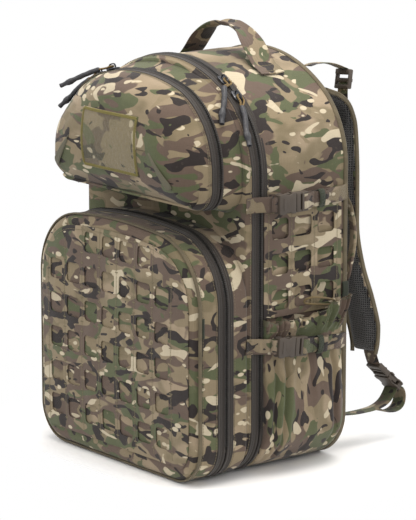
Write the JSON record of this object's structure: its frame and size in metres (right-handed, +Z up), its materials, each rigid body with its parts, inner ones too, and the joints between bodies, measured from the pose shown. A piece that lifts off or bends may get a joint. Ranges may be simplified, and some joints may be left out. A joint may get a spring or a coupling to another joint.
{
  "type": "tackle backpack",
  "caption": "Clamshell tackle backpack with two zipped front pockets, side pockets, compression straps, webbing grids and a padded harness.",
  "frame": {"origin": "on the underside of the base, on the pack's middle plane, 24 mm behind the main zip line", "axes": "+Z up; +X to the wearer's right; +Y from the outward front to the wearer's back"},
  "size_m": [0.3832, 0.3893, 0.564],
  "materials": {
    "camo_fabric": "woven nylon, printed in a soft camouflage",
    "laminate": "laser-cut laminated nylon",
    "webbing": "woven nylon webbing",
    "loop": "loop pile patch",
    "zip_tape": "coil zip tape",
    "mesh": "spacer mesh over foam",
    "plastic": "moulded acetal",
    "sheet": "polyethylene sheet",
    "slider": "blackened zinc",
    "sleeve": "heat-shrunk sleeve",
    "cord": "elastic cord",
    "stay": "mill finish"
  },
  "bodies": {
    "pack": {"base_panel": "camo_fabric", "main_gusset": "camo_fabric", "back_panel": "camo_fabric", "frame_sheet": "sheet", "frame_stays": "stay", "back_pads": "mesh", "lumbar_pad": "mesh", "main_tape_rear": "zip_tape", "side_grid_right": "laminate", "side_grid_left": "laminate", "side_pocket_right": "camo_fabric", "side_pocket_left": "camo_fabric", "pocket_cords": "cord", "top_handle": "webbing", "side_handle": "webbing", "rear_webbings": "webbing", "lower_webbings": "webbing"},
    "main_door": {"door_panel": "camo_fabric", "main_tape_front": "zip_tape", "upper_gusset": "camo_fabric", "lower_gusset": "camo_fabric", "pocket_tapes_rear": "zip_tape", "front_webbings": "webbing", "female_buckles": "plastic"},
    "upper_front": {"upper_shell": "camo_fabric", "upper_tape_front": "zip_tape", "loop_patch": "loop"},
    "lower_front": {"lower_shell": "camo_fabric", "lower_tape_front": "zip_tape", "front_grid": "laminate"},
    "main_slider_a": {"main_slider_a": "slider"},
    "main_slider_b": {"main_slider_b": "slider"},
    "main_pull_a": {"main_pull_a": "sleeve"},
    "main_pull_b": {"main_pull_b": "sleeve"},
    "upper_slider_a": {"upper_slider_a": "slider"},
    "upper_slider_b": {"upper_slider_b": "slider"},
    "upper_pull_a": {"upper_pull_a": "sleeve"},
    "upper_pull_b": {"upper_pull_b": "sleeve"},
    "lower_slider": {"lower_slider": "slider"},
    "lower_pull": {"lower_pull": "sleeve"},
    "buckle_upper_right": {"male_upper_right": "plastic", "tail_upper_right": "webbing"},
    "buckle_upper_left": {"male_upper_left": "plastic", "tail_upper_left": "webbing"},
    "buckle_lower_right": {"male_lower_right": "plastic", "tail_lower_right": "webbing"},
    "buckle_lower_left": {"male_lower_left": "plastic", "tail_lower_left": "webbing"},
    "shoulder_strap_right": {"shoulder_pad_right": "camo_fabric", "harness_webbing_right": "webbing", "harness_hardware_right": "plastic"},
    "shoulder_strap_left": {"shoulder_pad_left": "camo_fabric", "harness_webbing_left": "webbing", "harness_hardware_left": "plastic"}
  },
  "joints": [
    {"name": "main_door_hinge", "type": "hinge", "parent": "pack", "child": "main_door", "pos_m": [0, -0.024, 0], "axis": [1, 0, 0], "range_deg": [0, 90]},
    {"name": "upper_front_hinge", "type": "hinge", "parent": "main_door", "child": "upper_front", "pos_m": [0, -0.074, 0.35], "axis": [1, 0, 0], "range_deg": [0, 24]},
    {"name": "lower_front_hinge", "type": "hinge", "parent": "main_door", "child": "lower_front", "pos_m": [0, -0.078, 0.003], "axis": [1, 0, 0], "range_deg": [0, 85]},
    {"name": "main_slider_a_run", "type": "hinge", "parent": "pack", "child": "main_slider_a", "pos_m": [0, -0.024, 0.32297], "axis": [0, 1, 0], "range_deg": [-56, 0]},
    {"name": "main_slider_b_run", "type": "hinge", "parent": "pack", "child": "main_slider_b", "pos_m": [0.049, -0.024, 0.39], "axis": [0, 1, 0], "range_deg": [0, 28]},
    {"name": "upper_slider_a_run", "type": "hinge", "parent": "main_door", "child": "upper_slider_a", "pos_m": [0, -0.074, 0.232], "axis": [0, 1, 0], "range_deg": [0, 28]},
    {"name": "upper_slider_b_run", "type": "hinge", "parent": "main_door", "child": "upper_slider_b", "pos_m": [-0.049, -0.074, 0.4], "axis": [0, 1, 0], "range_deg": [-30, 0]},
    {"name": "lower_slider_run", "type": "slide", "parent": "main_door", "child": "lower_slider", "axis": [0, 0, 1], "range_m": [-0.12, 0.03]},
    {"name": "main_pull_a_swing", "type": "hinge", "parent": "main_slider_a", "child": "main_pull_a", "pos_m": [0.10068, -0.024, 0.50866], "axis": [0, 1, 0], "range_deg": [-110, 0]},
    {"name": "main_pull_b_swing", "type": "hinge", "parent": "main_slider_b", "child": "main_pull_b", "pos_m": [0.12787, -0.024, 0.49107], "axis": [0, 1, 0], "range_deg": [-110, 0]},
    {"name": "upper_pull_a_swing", "type": "hinge", "parent": "upper_slider_a", "child": "upper_pull_a", "pos_m": [-0.07147, -0.074, 0.50913], "axis": [0, 1, 0], "range_deg": [0, 110]},
    {"name": "upper_pull_b_swing", "type": "hinge", "parent": "upper_slider_b", "child": "upper_pull_b", "pos_m": [-0.10114, -0.074, 0.49822], "axis": [0, 1, 0], "range_deg": [0, 110]},
    {"name": "lower_pull_swing", "type": "hinge", "parent": "lower_slider", "child": "lower_pull", "pos_m": [-0.1772, -0.078, 0.19], "axis": [0, 1, 0], "range_deg": [0, 110]},
    {"name": "buckle_upper_right_pull", "type": "slide", "parent": "pack", "child": "buckle_upper_right", "axis": [0, 1, 0], "range_m": [0, 0.025]},
    {"name": "buckle_lower_right_pull", "type": "slide", "parent": "pack", "child": "buckle_lower_right", "axis": [0, 0.9962, -0.0872], "range_m": [0, 0.025]},
    {"name": "buckle_upper_left_pull", "type": "slide", "parent": "pack", "child": "buckle_upper_left", "axis": [0, 1, 0], "range_m": [0, 0.025]},
    {"name": "buckle_lower_left_pull", "type": "slide", "parent": "pack", "child": "buckle_lower_left", "axis": [0, 0.9962, -0.0872], "range_m": [0, 0.025]},
    {"name": "shoulder_strap_right_swing", "type": "hinge", "parent": "pack", "child": "shoulder_strap_right", "pos_m": [0, 0.128, 0.5], "axis": [1, 0, 0], "range_deg": [0, 25]},
    {"name": "shoulder_strap_left_swing", "type": "hinge", "parent": "pack", "child": "shoulder_strap_left", "pos_m": [0, 0.128, 0.5], "axis": [1, 0, 0], "range_deg": [0, 25]}
  ]
}
